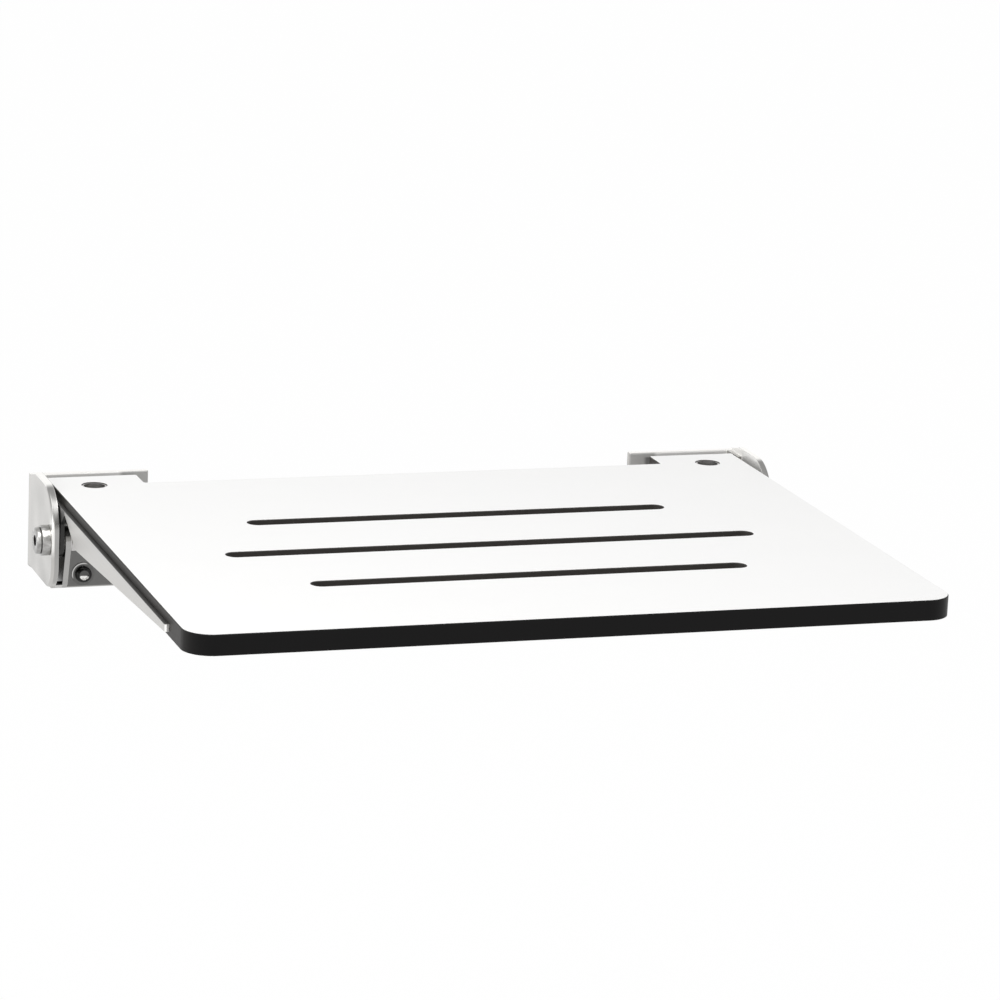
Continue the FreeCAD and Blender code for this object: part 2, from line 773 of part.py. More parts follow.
def main():
    fill_sheets()
    pieces = [make_seat_panel()]
    for word, side in SIDES.items():
        pieces.append(make_wall_bracket(word, side))
        pieces.append(make_seat_arm(word, side))
        pieces.extend(make_pivot(word, side))
        pieces.extend(make_arm_fixings(word, side))
        pieces.append(make_tab_sleeve(word, side))
    pieces.extend(make_wall_fixings())
    check_and_write(pieces)


main()
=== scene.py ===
"""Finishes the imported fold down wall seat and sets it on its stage.

Everything is in metres, in the frame of the CAD model: the wall is the plane y = 0,
the seat reaches out along -Y and the wall screws are centred on the origin.
"""

import math
from types import SimpleNamespace

import bmesh
import bpy
from bpy.props import (
    FloatProperty,
    FloatVectorProperty,
    PointerProperty,
)
from mathutils import Euler, Matrix, Vector


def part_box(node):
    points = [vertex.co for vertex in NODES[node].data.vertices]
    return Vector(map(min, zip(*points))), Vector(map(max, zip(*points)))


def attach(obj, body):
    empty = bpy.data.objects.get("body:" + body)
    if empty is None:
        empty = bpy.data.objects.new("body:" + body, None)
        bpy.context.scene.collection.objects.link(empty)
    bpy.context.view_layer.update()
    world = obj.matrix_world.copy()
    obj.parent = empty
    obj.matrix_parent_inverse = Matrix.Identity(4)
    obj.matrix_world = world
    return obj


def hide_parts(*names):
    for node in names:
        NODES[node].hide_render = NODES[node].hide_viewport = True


bl_info = {
    "name": "Fold Down Wall Seat",
    "version": (1, 0, 0),
    "blender": (4, 5, 0),
    "location": "3D View > Sidebar > Wall Seat",
    "description": "Finishes a laminate wall seat, its steel brackets and its stage",
    "category": "Object",
}

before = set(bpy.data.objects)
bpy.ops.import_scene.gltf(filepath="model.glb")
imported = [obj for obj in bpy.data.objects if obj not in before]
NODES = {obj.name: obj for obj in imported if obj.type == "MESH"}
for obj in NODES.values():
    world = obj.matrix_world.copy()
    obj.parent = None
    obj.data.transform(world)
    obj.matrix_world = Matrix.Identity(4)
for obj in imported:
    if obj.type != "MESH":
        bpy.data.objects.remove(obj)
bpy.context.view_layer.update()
SIDES = {"left": -1, "right": 1}
BOARD_LOW, BOARD_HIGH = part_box("seat_panel")

# Places that the fixings and finishes share with the CAD model, in metres.
MM = 0.001
SCREW_HALF = 203.2 * MM
SCREW_UP = 26 * MM
PLATE_THICK = 4 * MM
WASHER_THICK = 1 * MM
EAR_OUTER = 238 * MM
EAR_INNER = 233.5 * MM
CHEEK_OUTER = 229.4 * MM
FLOOR_UNDER = -19.5 * MM
NUT_START = 224.7 * MM
PIVOT = (-58 * MM, 11.5 * MM)
ARM_SCREW_SIDE = 214 * MM
ARM_SCREW_ROWS = (-92 * MM, -142 * MM, -192 * MM)
ARM_TOP = 34.7 * MM
ARM_FRONT = 336 * MM
FLANGE_UNDER = 25 * MM

# How the turned pieces are meshed.
TURNS = 48
RINGS_PER_PITCH = 4.0
THREAD_DEPTH = 0.54
THREAD_MARGIN = 0.1
ON_RING = 0.01 * MM
MERGED = 0.001 * MM
SHARP_ANGLE = 28.0

# Clouds of the small steel pieces in cells to the metre, and depths of relief in metres.
OXIDE = 420.0
PITS = 2600.0
FINE_RELIEF = 0.004 * MM
BRUSHED_RELIEF = 0.006 * MM
COARSE_RELIEF = 0.01 * MM
BOARD_RELIEF = 0.02 * MM

# Each lamp's name, place, width and power; both face the middle of the seat.
LAMPS = (
    ("top lamp", (-0.5, -0.9, 1.9), 1.6, 26.0),
    ("left lamp", (-1.9, -0.7, 0.5), 1.2, 10.0),
)
SEAT_MIDDLE = (0.0, -0.2, 0.0)


class Wire:
    """One output of a finish's shader nodes; arithmetic on it adds Math nodes."""

    def __init__(self, finish, socket):
        self.finish = finish
        self.socket = socket

    def __add__(self, other):
        return self.finish.reckon("ADD", self, other)

    def __radd__(self, other):
        return self.finish.reckon("ADD", other, self)

    def __sub__(self, other):
        return self.finish.reckon("SUBTRACT", self, other)

    def __rsub__(self, other):
        return self.finish.reckon("SUBTRACT", other, self)

    def __mul__(self, other):
        return self.finish.reckon("MULTIPLY", self, other)

    def __rmul__(self, other):
        return self.finish.reckon("MULTIPLY", other, self)


class Finish:
    """A material or a room's light in the making."""

    def __init__(self, owner):
        owner.use_nodes = True
        self.owner = owner
        self.nodes = owner.node_tree.nodes
        self.links = owner.node_tree.links
        self.nodes.clear()

    def node(self, kind, settings=(), feeds=(), result=0):
        """Add a node, set it up, feed its sockets and hand back one output."""
        made = self.nodes.new("ShaderNode" + kind)
        for name, value in dict(settings).items():
            setattr(made, name, value)
        for name, value in dict(feeds).items():
            if isinstance(value, Wire):
                self.links.new(value.socket, made.inputs[name])
            else:
                made.inputs[name].default_value = value
        return Wire(self, made.outputs[result]) if made.outputs else None

    def reckon(self, operation, first, second):
        return self.node("Math", {"operation": operation}, {0: first, 1: second})

    def place(self):
        """Where a point lies on the piece at rest, in metres."""
        return self.node("TexCoord", result="Object")

    def stretched(self, along):
        """The place with each direction scaled, for a grain that runs one way."""
        return self.node("VectorMath", {"operation": "MULTIPLY"}, {0: self.place(), 1: along})

    def part_of(self, axis):
        return self.node("SeparateXYZ", feeds={"Vector": self.place()}, result=axis)

    def height(self):
        return self.part_of("Z")

    def out(self):
        """How far a point lies behind the wall plane; in front of it the value is below 0."""
        return self.part_of("Y")

    def side(self):
        """How far a point lies from the middle plane, on either side."""
        return self.reckon("ABSOLUTE", self.part_of("X"), 0.0)

    def on_right(self):
        """1 right of the middle plane and 0 left of it."""
        return self.ramp(self.part_of("X"), 0.0, 1 * MM)

    def ramp(self, value, low, high, start=0.0, end=1.0):
        """A smooth step from start to end as the value goes from low to high."""
        return self.node(
            "MapRange",
            {"interpolation_type": "SMOOTHSTEP"},
            {"Value": value, "From Min": low, "From Max": high, "To Min": start, "To Max": end},
        )

    def cloud(self, scale, vector=None, detail=3.0, roughness=0.55):
        """Soft random variation from 0 to 1, the scale in cells to the metre."""
        return self.node(
            "TexNoise",
            {"noise_dimensions": "3D"},
            {
                "Vector": vector or self.place(),
                "Scale": scale,
                "Detail": detail,
                "Roughness": roughness,
            },
        )

    def shades(self, share, first, second):
        """A colour that turns from the first into the second."""
        return self.node(
            "Mix", {"data_type": "RGBA"}, {0: share, 6: rgba(first), 7: rgba(second)}, 2
        )

    def within(self, value, low, high, soft):
        """1 between two values and 0 outside them."""
        return self.ramp(value, low - soft, low + soft) * self.ramp(value, high + soft, high - soft)

    def layered(self, tone, layers):
        """The tone with each layer's own tone laid over it where the layer's mask is 1."""
        for mask, own in layers:
            tone = self.shades(mask, tone, own)
        return tone

    def distance(self, across, up):
        """The length of the vector that two values make."""
        return self.reckon("POWER", across * across + up * up, 0.5)

    def bump(self, height, depth):
        """Relief of the given depth in metres."""
        return self.node("Bump", feeds={"Height": height, "Distance": depth, "Strength": 1.0})

    def done(self, **feeds):
        """Close the material with one Principled shader."""
        sockets = {name.replace("_", " "): value for name, value in feeds.items()}
        return self.shown(self.node("BsdfPrincipled", feeds=sockets))

    def shown(self, shader):
        self.node("OutputMaterial", feeds={"Surface": shader})
        return self.owner


def new_finish(name):
    return Finish(bpy.data.materials.new(name))


def rgba(colour):
    """A colour of three numbers as the four that a socket takes; a wire stays as it is."""
    return colour if isinstance(colour, Wire) else (*colour[:3], 1.0)


def times(colour, share):
    """A colour made brighter or darker."""
    return [channel * share for channel in colour]


def grey(level):
    """A neutral steel colour, a touch warmer than grey."""
    return (level, level * 0.99, level * 0.965)


def dress(names, material):
    """Give CAD nodes a finish in every slot they have."""
    for name in names:
        for slot in NODES[name].material_slots:
            slot.material = material


def both_sides(stem):
    return [stem + "_" + word for word in SIDES]


def laminate_finish(look):
    """White decor faces on a black fibre core, told apart by height in the board; the core along the
    sides, and more along the front, is darkened as painted shade.
    """
    finish = new_finish("laminate")
    height = finish.height()
    top = BOARD_HIGH.z - look.skin
    under = BOARD_LOW.z + look.skin
    edge = look.skin * 0.12
    over = finish.ramp(height, top - edge, top + edge)
    below = finish.ramp(height, under + edge, under - edge)
    white = over + below
    mottle = finish.cloud(26.0, detail=4.0)
    decor = finish.shades(mottle, look.white, times(look.white, 0.985))
    layers = finish.cloud(1.0, finish.stretched((30.0, 30.0, 5200.0)), detail=2.0)
    saw_marks = finish.cloud(1.0, finish.stretched((900.0, 900.0, 60.0)), detail=2.0)
    # Painted shade: the core is darker on the side edges and darker still on the front edge, standing
    # in for the shade that falls there, though the core is one colour all round.
    flank = finish.ramp(finish.side(), 228 * MM, 229.4 * MM)
    front = finish.ramp(finish.out(), -352 * MM, -374 * MM)
    core = finish.layered(finish.shades(layers, look.core, times(look.core, 1.3)), [
        (flank, finish.shades(layers, look.shaded_flank_core, look.core)),
        (front, finish.shades(layers, look.shaded_front_core, times(look.shaded_front_core, 1.3))),
    ])
    grain = finish.cloud(look.grain, detail=2.0)
    sawn = 1.0 - white
    rough = white * (look.satin + 0.06 * mottle) + sawn * (0.36 + 0.16 * saw_marks)
    relief = white * grain + sawn * (0.7 * saw_marks + 0.3 * layers)
    return finish.done(
        Base_Color=finish.shades(white, core, decor),
        Roughness=rough,
        Specular_IOR_Level=0.16,
        Normal=finish.bump(relief, BOARD_RELIEF),
    )


def painted_light_zones(finish):
    """Masks for the stretches of a bracket where light and shade are painted into the colour.

    The rim is the ear's edge above the painted highlight, the inner stretch is what rises above
    the board on the ear's inner face, and the far one is that stretch of the right bracket.
    """
    side = finish.side()
    out = finish.out()
    height = finish.height()
    painted_light = SimpleNamespace()
    # Painted shade on the ear's rim above the highlight, darkened so that the top lamp's reflection
    # there does not burn out.
    painted_light.rim = finish.within(side, EAR_INNER + 0.2 * MM, EAR_OUTER - 0.3 * MM, 0.2 * MM)
    painted_light.rim = painted_light.rim * finish.ramp(out, -10 * MM, -16 * MM) * finish.ramp(height, 21 * MM, 28 * MM)
    # Painted highlight on the ear's rounded front edge.
    painted_light.highlight = finish.ramp(side, EAR_OUTER - 2.2 * MM, EAR_OUTER - 1.2 * MM)
    painted_light.highlight = painted_light.highlight * finish.ramp(out, -60 * MM, -65.5 * MM)
    painted_light.highlight = painted_light.highlight * finish.within(height, 6 * MM, 26 * MM, 5 * MM)
    # Painted shade and reflection on the ear's lower front edge.
    painted_light.front_edge = finish.within(side, EAR_INNER - 0.1 * MM, EAR_OUTER - 1.8 * MM, 0.3 * MM)
    painted_light.front_edge = painted_light.front_edge * finish.ramp(out, -60 * MM, -66 * MM)
    # The wall plate's front, on which painted shade and reflections are laid.
    painted_light.plate = finish.within(out, -PLATE_THICK - 1 * MM, -PLATE_THICK + 0.4 * MM, 0.3 * MM)
    painted_light.plate = painted_light.plate * finish.ramp(side, EAR_OUTER - 0.2 * MM, EAR_OUTER - 1.2 * MM)
    painted_light.upper = painted_light.plate * finish.ramp(height, 28 * MM, 31 * MM)
    # Painted shade on the cheek, and a near black sheet of painted shade between the cheek and the
    # ear.
    beside_arm = finish.ramp(out, -46 * MM, -47 * MM)
    painted_light.cheek = beside_arm * finish.ramp(side, CHEEK_OUTER + 0.4 * MM, CHEEK_OUTER - 0.2 * MM)
    between = finish.within(side, CHEEK_OUTER - 0.2 * MM, EAR_INNER - 0.1 * MM, 0.1 * MM)
    above_floor = finish.within(height, FLOOR_UNDER + 2.5 * MM, 30 * MM, 0.4 * MM)
    painted_light.gap = beside_arm * between * above_floor
    # The floor of the channel under the arm, painted lighter with less metal so that it looks lit.
    painted_light.foot = finish.within(side, CHEEK_OUTER - 0.4 * MM, EAR_INNER + 0.1 * MM, 0.2 * MM)
    painted_light.foot = painted_light.foot * finish.ramp(height, FLOOR_UNDER + 2.5 * MM, FLOOR_UNDER + 2.1 * MM)
    painted_light.foot = painted_light.foot * finish.ramp(out, -45 * MM, -47 * MM)
    # Painted light on the ear's inner face above the board, lighter still on the right bracket.
    painted_light.inner = finish.within(side, EAR_INNER - 0.5 * MM, EAR_INNER + 0.1 * MM, 0.1 * MM)
    painted_light.inner = painted_light.inner * finish.ramp(height, 30 * MM, 32 * MM)
    painted_light.far = painted_light.inner * finish.on_right()
    # Painted highlight along the top edges of the ear and the plate.
    on_ear = finish.ramp(side, EAR_INNER + 0.1 * MM, EAR_INNER + 0.3 * MM)
    on_plate = finish.ramp(out, -PLATE_THICK - 0.5 * MM, -PLATE_THICK)
    painted_light.crown = finish.reckon("MAXIMUM", on_ear, on_plate)
    painted_light.crown = painted_light.crown * finish.ramp(height, BOARD_HIGH.z - 0.4 * MM, BOARD_HIGH.z)
    painted_light.crown = painted_light.crown * finish.ramp(out, -52 * MM, -46 * MM)
    painted_light.crown = painted_light.crown * finish.ramp(side, EAR_OUTER - 0.04 * MM, EAR_OUTER - 0.1 * MM)
    return painted_light


def plate_painted_light(finish, painted_light, cloud):
    """The wall plate's front, with painted shade that keeps it dim under the board, a painted
    highlight along its lower edge, and painted reflection and shade on the strip that shows above it.
    """
    side = finish.side()
    height = finish.height()
    dim = finish.shades(finish.ramp(height, -12 * MM, 30 * MM), grey(0.15), grey(0.21))
    # Painted reflection on the strip above the board: darker towards its end, where the board's black
    # back edge would mirror in it, and lighter over the tab.
    end = finish.ramp(side, 171.5 * MM, 174.5 * MM) * finish.ramp(height, 37.2 * MM, 36.4 * MM)
    strip = finish.shades(end, grey(0.46), grey(0.2))
    strip = finish.shades(finish.ramp(side, 178 * MM, 182 * MM), strip, grey(0.8))
    return finish.layered(dim, [
        (0.3 * cloud, grey(0.22)),
        # Painted highlight along the plate's rounded lower edge.
        (finish.ramp(height, -33.6 * MM, -34.4 * MM), grey(0.42)),
        (painted_light.upper, strip),
    ])


def polished_finish(look):
    """Bracket steel, polished, with painted reflection streaks on the ear, and painted light and
    shade laid over the stretches where the board and the other parts shade it.
    """
    finish = new_finish("polished steel")
    cloud = finish.cloud(34.0, detail=5.0)
    reflection_bands = finish.cloud(1.0, finish.stretched((8.0, 26.0, 24.0)), detail=1.0)
    wheel = finish.cloud(1.0, finish.stretched((2600.0, 150.0, 150.0)), detail=2.0)
    painted_light = painted_light_zones(finish)
    # Painted reflection: the ear's colour streaks between darker and lighter, standing in for the
    # reflections of a room with more contrast.
    ear = finish.shades(reflection_bands, times(look.bracket, 0.52), times(look.bracket, 1.35))
    # Each layer below paints light or shade into the colour, over the stretch that its mask marks.
    tone = finish.layered(ear, [
        (painted_light.rim, finish.shades(reflection_bands, grey(0.2), grey(0.32))),
        (painted_light.highlight, grey(0.93)),
        (painted_light.front_edge, finish.shades(reflection_bands, grey(0.22), grey(0.62))),
        (painted_light.plate, plate_painted_light(finish, painted_light, cloud)),
        (painted_light.cheek, finish.shades(reflection_bands, grey(0.3), grey(0.55))),
        (painted_light.gap, grey(0.04)),
        (painted_light.foot, grey(0.56)),
        (painted_light.inner, finish.shades(reflection_bands, grey(0.5), grey(0.85))),
        (painted_light.far, grey(0.88)),
        (painted_light.crown, grey(0.96)),
    ])
    worn = 0.1 * (painted_light.plate + painted_light.rim) + 0.25 * (painted_light.upper + painted_light.foot)
    return finish.done(
        Base_Color=tone,
        Metallic=1.0 - 0.55 * painted_light.upper - 0.75 * painted_light.foot - 0.8 * painted_light.far,
        Roughness=look.polish + 0.07 * cloud + 0.04 * wheel + worn,
        Normal=finish.bump(wheel, FINE_RELIEF),
    )


def satin_finish(look):
    """Arm steel, brushed along its length, with painted shade towards the back, a near black sheet of
    painted shade between the ear and the cheek, painted shade on the top edge, the right arm's face
    painted lighter and a painted highlight on the front end.
    """
    finish = new_finish("satin steel")
    out = finish.out()
    height = finish.height()
    strokes = finish.cloud(1.0, finish.stretched((3200.0, 38.0, 3200.0)), detail=3.0)
    cloud = finish.cloud(22.0, detail=4.0)
    # Painted shade: the arm darkens towards the back, goes near black on its neck between the ear and
    # the cheek, and is dark along its top edge beside the board; the right arm's face is painted
    # lighter and the front end carries a painted highlight.
    shaded = finish.ramp(out, -104 * MM, -82 * MM)
    neck_shade = finish.ramp(out, -81 * MM, -76 * MM)
    upper_edge_shade = finish.ramp(height, ARM_TOP - 0.4 * MM, ARM_TOP - 0.15 * MM)
    far = finish.on_right() * finish.ramp(height, 28.5 * MM, 29 * MM)
    front_end_highlight = finish.ramp(out, 1.6 * MM - ARM_FRONT, 0.8 * MM - ARM_FRONT)
    tone = finish.layered(finish.shades(strokes, look.arm, times(look.arm, 0.9)), [
        (shaded, times(look.arm, 0.72)),
        (neck_shade, grey(0.05)),
        (upper_edge_shade, grey(0.13)),
        (far, grey(0.8)),
        (front_end_highlight, grey(0.95)),
    ])
    return finish.done(
        Base_Color=tone,
        Metallic=1.0 - 0.8 * far,
        Roughness=look.satin_steel + 0.08 * strokes + 0.05 * cloud,
        Normal=finish.bump(strokes, BRUSHED_RELIEF),
    )


def bare_metal(finish, tone, least, spread, cloud, relief, depth=FINE_RELIEF):
    """Close a metal finish whose roughness starts at the least and varies with a cloud."""
    return finish.done(
        Base_Color=tone,
        Metallic=1.0,
        Roughness=least + spread * cloud,
        Normal=finish.bump(relief, depth),
    )


def fastener_finish(look):
    finish = new_finish("fastener steel")
    cloud = finish.cloud(OXIDE, detail=4.0)
    pits = finish.cloud(PITS, detail=2.0)
    tone = finish.shades(cloud, look.fastener, times(look.fastener, 0.86))
    return bare_metal(finish, tone, 0.24, 0.12, cloud, pits)


def from_wall_screw(finish):
    """How far a point lies from the axis of the nearer lower wall screw, and how far above it."""
    up = finish.height() + SCREW_UP
    return finish.distance(finish.side() - SCREW_HALF, up), up


def wall_screw_finish(look):
    """Fastener steel with a painted dark reflection on the head's ring round the socket, and painted
    shade high in the socket over a painted highlight low down.
    """
    finish = new_finish("wall screw steel")
    away, up = from_wall_screw(finish)
    cloud = finish.cloud(OXIDE, detail=4.0)
    pits = finish.cloud(PITS, detail=2.0)
    steel = finish.shades(cloud, look.fastener, times(look.fastener, 0.8))
    dark = finish.shades(cloud, grey(0.012), grey(0.045))
    # Painted reflection: the head's ring round the socket is near black, standing in for a dark room
    # mirrored in it, not oxide; in the socket, painted shade above and a painted highlight low down.
    dome = finish.within(away, 2.9 * MM, 5.8 * MM, 0.3 * MM)
    socket = finish.ramp(away, 3.2 * MM, 2.9 * MM)
    socket = socket * finish.ramp(finish.out(), -5.2 * MM, -5.6 * MM)
    lit = finish.shades(finish.ramp(up, -0.6 * MM, -1.2 * MM), grey(0.1), grey(0.95))
    tone = finish.layered(steel, [(dome, dark), (socket, lit)])
    return bare_metal(finish, tone, 0.26, 0.14, cloud, pits)


def washer_finish(look):
    """Washer steel, painted grey as shade under the board, with a painted highlight on its upper rim.
    """
    finish = new_finish("washer steel")
    away, up = from_wall_screw(finish)
    cloud = finish.cloud(OXIDE, detail=4.0)
    pits = finish.cloud(PITS, detail=2.0)
    outward = finish.side() - SCREW_HALF
    # Painted highlight on the upper rim, over painted shade on the rest of the washer.
    highlight_arc = finish.ramp(up + outward, 3 * MM, 6.2 * MM) * finish.ramp(away, 6.4 * MM, 6.8 * MM)
    washer_shade = finish.shades(cloud, grey(0.1), grey(0.17))
    return bare_metal(finish, finish.shades(highlight_arc, washer_shade, look.fastener), 0.28, 0.12, cloud, pits)


def pivot_finish():
    """Bolt steel with painted shade in the groove, the socket and the lower half, and painted
    reflection streaks such as a polished disc shows.
    """
    finish = new_finish("pivot steel")
    proud = finish.side() - EAR_OUTER
    out = finish.out() - PIVOT[0]
    up = finish.height() - PIVOT[1]
    away = finish.distance(out, up)
    cloud = finish.cloud(OXIDE, detail=4.0)
    reflection_bands = finish.cloud(1.0, finish.stretched((160.0, 330.0, 330.0)), detail=2.0)
    # Painted shade on the lower half, in the groove and in the socket, over painted reflection
    # streaks.
    lower = finish.ramp(up, -1 * MM, -5.5 * MM)
    groove = finish.within(proud, 5.1 * MM, 5.8 * MM, 0.1 * MM)
    groove = groove * finish.ramp(away, 8.6 * MM, 8.2 * MM)
    socket = finish.ramp(away, 3.7 * MM, 3.4 * MM) * finish.ramp(proud, 4 * MM, 4.5 * MM)
    tone = finish.layered(finish.shades(reflection_bands, grey(0.08), grey(0.76)), [
        (lower, grey(0.34)),
        (groove, grey(0.1)),
        (socket, grey(0.05)),
    ])
    return bare_metal(finish, tone, 0.16, 0.12, cloud, cloud)


def nylon_finish():
    finish = new_finish("nylon")
    cloud = finish.cloud(300.0, detail=3.0)
    speckle = finish.cloud(1900.0, detail=2.0)
    return finish.done(
        Base_Color=finish.shades(cloud, (0.74, 0.73, 0.69), (0.66, 0.65, 0.61)),
        Roughness=0.46 + 0.08 * cloud,
        Normal=finish.bump(speckle, COARSE_RELIEF),
    )


def brass_finish():
    finish = new_finish("brass")
    cloud = finish.cloud(380.0, detail=4.0)
    turning = finish.cloud(1.0, finish.stretched((120.0, 120.0, 6000.0)), detail=1.0)
    tone = finish.shades(cloud, (0.72, 0.52, 0.22), (0.58, 0.40, 0.15))
    return bare_metal(finish, tone, 0.28, 0.14, cloud, turning, COARSE_RELIEF)


def seen_straight(finish):
    """1 where the camera looks, or a mirror or glass that it looks at, and 0 elsewhere."""
    seen = finish.node("LightPath", result="Is Camera Ray")
    mirrored = finish.node("LightPath", result="Is Glossy Ray")
    through = finish.node("LightPath", result="Is Transmission Ray")
    return seen + mirrored + through


def floor_finish(look):
    """A floor that the camera and mirrors see as white, and that still takes a shadow."""
    finish = new_finish("floor")
    colour = rgba(look.floor_colour)
    lit = finish.node("BsdfDiffuse", feeds={"Color": colour})
    glow = finish.node("Emission", feeds={"Color": colour, "Strength": 1.0})
    share = seen_straight(finish) * look.floor_glow
    return finish.shown(finish.node("MixShader", feeds={0: share, 1: lit, 2: glow}))


def spun(points, closed=False):
    """A round shape about Z from half its section, given as (radius, height) in metres."""
    shape = bmesh.new()
    rail = [shape.verts.new((radius, 0.0, height)) for radius, height in points]
    pairs = list(zip(rail, rail[1:]))
    if closed:
        pairs.append((rail[-1], rail[0]))
    edges = [shape.edges.new(pair) for pair in pairs]
    bmesh.ops.spin(
        shape,
        geom=rail + edges,
        axis=(0.0, 0.0, 1.0),
        cent=(0.0, 0.0, 0.0),
        angle=2.0 * math.pi,
        steps=TURNS,
        use_merge=True,
    )
    bmesh.ops.remove_doubles(shape, verts=shape.verts, dist=MERGED)
    bmesh.ops.recalc_face_normals(shape, faces=shape.faces)
    return shape


def near(vert, radius, low, high):
    """Whether a vertex lies at a radius, between two heights."""
    return abs(vert.co.xy.length - radius) < ON_RING and low < vert.co.z < high


def make_hexagon(shape, corner, low, high):
    """Push the rings of one radius in until they are hexagons with that corner radius."""
    sixth = math.pi / 3.0
    for vert in [v for v in shape.verts if near(v, corner, low, high)]:
        turn = math.atan2(vert.co.y, vert.co.x) % sixth
        share = math.cos(sixth / 2.0) / math.cos(turn - sixth / 2.0)
        vert.co.x *= share
        vert.co.y *= share


def cut_thread(shape, radius, pitch, low, high):
    """Press a helical thread into the rings of one radius between two heights."""
    depth = pitch * THREAD_DEPTH
    for vert in [v for v in shape.verts if near(v, radius, low, high)]:
        turn = math.atan2(vert.co.y, vert.co.x) / (2.0 * math.pi)
        phase = (vert.co.z / pitch - turn) % 1.0
        share = 1.0 - depth * abs(2.0 * phase - 1.0) / radius
        vert.co.x *= share
        vert.co.y *= share


def rows(radius, low, high, pitch):
    """Rings for a thread."""
    count = round((high - low) / pitch * RINGS_PER_PITCH)
    return [(radius, low + (high - low) * i / count) for i in range(count + 1)]


def in_metres(points):
    return [(radius * MM, height * MM) for radius, height in points]


def threaded(radius, core, pitch, tip, low, high, head):
    """A screw in millimetres: its tip, its thread from low to high, then the rest of its section."""
    thread = rows(radius, low, high, pitch)
    shape = spun(in_metres([(0.0, tip), (core, tip)] + thread + head))
    first = (low - THREAD_MARGIN) * MM
    last = (high + THREAD_MARGIN) * MM
    cut_thread(shape, radius * MM, pitch * MM, first, last)
    return shape


def placed(name, data):
    """A new object in the scene."""
    made = bpy.data.objects.new(name, data)
    bpy.context.scene.collection.objects.link(made)
    return made


def joined(name, shape, places, direction):
    """One object with a copy of the shape at every place, its Z axis turned to a direction.

    The direction may be one vector, or one for each place.
    """
    whole = bmesh.new()
    for number, place in enumerate(places):
        facing = direction[number] if isinstance(direction, list) else direction
        turn = Vector(facing).to_track_quat("Z", "Y").to_matrix().to_4x4()
        copy = shape.copy()
        bmesh.ops.transform(copy, matrix=Matrix.Translation(place) @ turn, verts=copy.verts)
        part = bpy.data.meshes.new("part")
        copy.to_mesh(part)
        copy.free()
        whole.from_mesh(part)
        bpy.data.meshes.remove(part)
    mesh = bpy.data.meshes.new(name)
    whole.to_mesh(mesh)
    whole.free()
    mesh.shade_smooth()
    mesh.set_sharp_from_angle(angle=math.radians(SHARP_ANGLE))
    return placed(name, mesh)


def stand_for(made, node, body, material):
    """Let a finished piece take the place of a CAD node of screw steel."""
    made.data.materials.append(material)
    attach(made, body)
    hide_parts(node)


def wall_screw():
    """A button head socket screw with a coarse thread, its head above z = 0."""
    neck, head, socket = 2.6, 5.2, 3.0
    shape = threaded(3.0, 2.3, 1.0, -30.0, -29.2, -5.2, [
        (neck, -4.9), (neck, 0.0), (4.9, 0.0), (head, 0.3), (head, 1.6), (5.05, 2.3), (4.65, 2.95),
        (4.1, 3.35), (3.5, 3.6), (3.2, 3.55), (socket, 3.35), (socket, 1.7), (1.5, 1.35), (0.0, 1.2),
    ])
    make_hexagon(shape, socket * MM, 1.0 * MM, 3.5 * MM)
    return shape


def sunk_wall_screw():
    """A countersunk socket screw, its head's face at z = 0."""
    neck, head, socket = 2.6, 5.5, 2.3
    shape = threaded(3.0, 2.3, 1.0, -30.0, -29.2, -4.2, [
        (neck, -3.9), (neck, -2.8), (5.45, -0.15), (head, 0.0), (2.5, 0.0), (socket, -0.2),
        (socket, -1.8), (0.0, -2.1),
    ])
    make_hexagon(shape, socket * MM, -1.9 * MM, -0.1 * MM)
    return shape


def pivot_bolt():
    """A shoulder bolt: a base disc, a groove and an outer disc with a hexagon socket."""
    shoulder, base, groove, disc, socket = 3.98, 9.5, 8.0, 8.4, 3.4
    shape = threaded(4.0, 3.3, 1.25, -22.9, -22.3, -13.5, [
        (shoulder, -13.2), (shoulder, 0.0), (9.2, 0.0), (base, 0.3), (base, 4.5), (9.38, 4.9),
        (9.0, 5.2), (groove, 5.2), (groove, 5.7), (8.15, 5.7), (disc, 5.95), (disc, 7.2),
        (8.28, 7.75), (7.95, 8.2), (7.4, 8.4), (3.75, 8.4), (3.5, 8.3), (socket, 8.1),
        (socket, 5.2), (1.6, 4.9), (0.0, 4.8),
    ])
    make_hexagon(shape, socket * MM, 5.0 * MM, 8.2 * MM)
    return shape


def lock_nut():
    """A hexagon nut with chamfered corners and a round collar."""
    bore, across_flats, collar = 4.05, 13.0, 5.9
    corner = across_flats / 2.0 / math.cos(math.pi / 6.0)
    shape = spun(in_metres([
        (bore, 0.0), (6.25, 0.0), (corner, 0.75), (corner, 5.8), (6.3, 6.5), (collar, 6.5),
        (collar, 7.4), (5.7, 7.9), (5.3, 8.1), (4.3, 8.1), (bore, 7.85),
    ]), closed=True)
    make_hexagon(shape, corner * MM, 0.1 * MM, 6.4 * MM)
    return shape


def arm_screw():
    """A button head screw for the board's brass inserts."""
    shank, head, socket = 2.48, 4.6, 2.3
    shape = threaded(2.5, 2.0, 0.8, -10.5, -10.1, -2.6, [
        (shank, -2.3), (shank, 0.0), (4.35, 0.0), (head, 0.25), (head, 1.1), (4.35, 1.8),
        (3.8, 2.35), (3.2, 2.6), (2.5, 2.6), (socket, 2.45), (socket, 1.6), (0.0, 1.4),
    ])
    make_hexagon(shape, socket * MM, 1.5 * MM, 2.5 * MM)
    return shape


